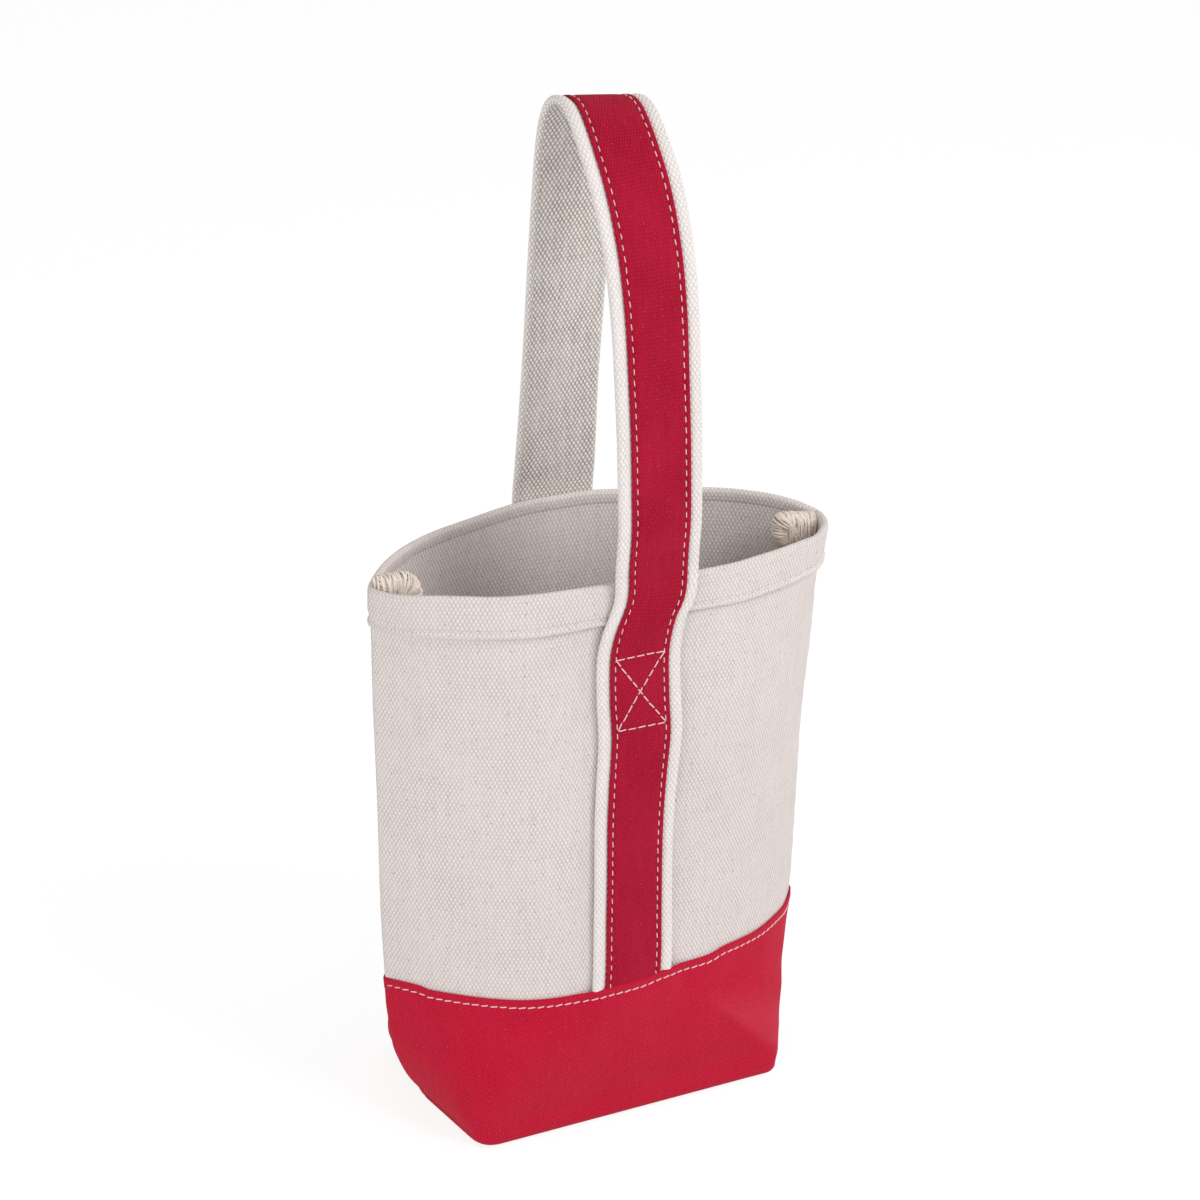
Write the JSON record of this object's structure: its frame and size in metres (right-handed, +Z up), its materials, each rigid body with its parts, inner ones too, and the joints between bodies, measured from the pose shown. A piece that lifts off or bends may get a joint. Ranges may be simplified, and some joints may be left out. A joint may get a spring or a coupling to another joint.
{
  "type": "bottle carrier",
  "caption": "Tapered canvas bag with a red boxed base, open mouth and a striped strap sewn up both faces that loops over the top, for carrying bottles upright.",
  "frame": {"origin": "middle of the base's underside, on the surface the bag stands on", "axes": "+X to the right along the mouth, +Y to the back, +Z up through the handle"},
  "size_m": [0.1918, 0.0926, 0.3971],
  "materials": {
    "canvas": "natural heavy cotton canvas, plain weave",
    "red_canvas": "crimson cotton canvas, finer plain weave",
    "overlock": "overlocked raw canvas edge",
    "strap_canvas": "folded natural canvas band",
    "strap_stripe": "crimson canvas tape"
  },
  "bodies": {
    "bag": {"front_panel": "canvas", "back_panel": "canvas", "front_hem": "canvas", "back_hem": "canvas", "front_base": "red_canvas", "back_base": "red_canvas", "left_seam": "overlock", "right_seam": "overlock", "front_strap_web": "strap_canvas", "front_root_web": "strap_canvas", "back_root_web": "strap_canvas", "back_strap_web": "strap_canvas", "front_strap_stripe": "strap_stripe", "front_root_stripe": "strap_stripe", "back_root_stripe": "strap_stripe", "back_strap_stripe": "strap_stripe"},
    "handle": {"handle_web": "strap_canvas", "handle_stripe": "strap_stripe"}
  },
  "joints": [
    {"name": "handle_swing", "type": "hinge", "parent": "bag", "child": "handle", "pos_m": [0, 0, 0.2165], "axis": [0, 1, 0], "range_deg": [-70, 70], "deforming": ["front_root_web", "front_root_stripe", "back_root_web", "back_root_stripe"]}
  ]
}
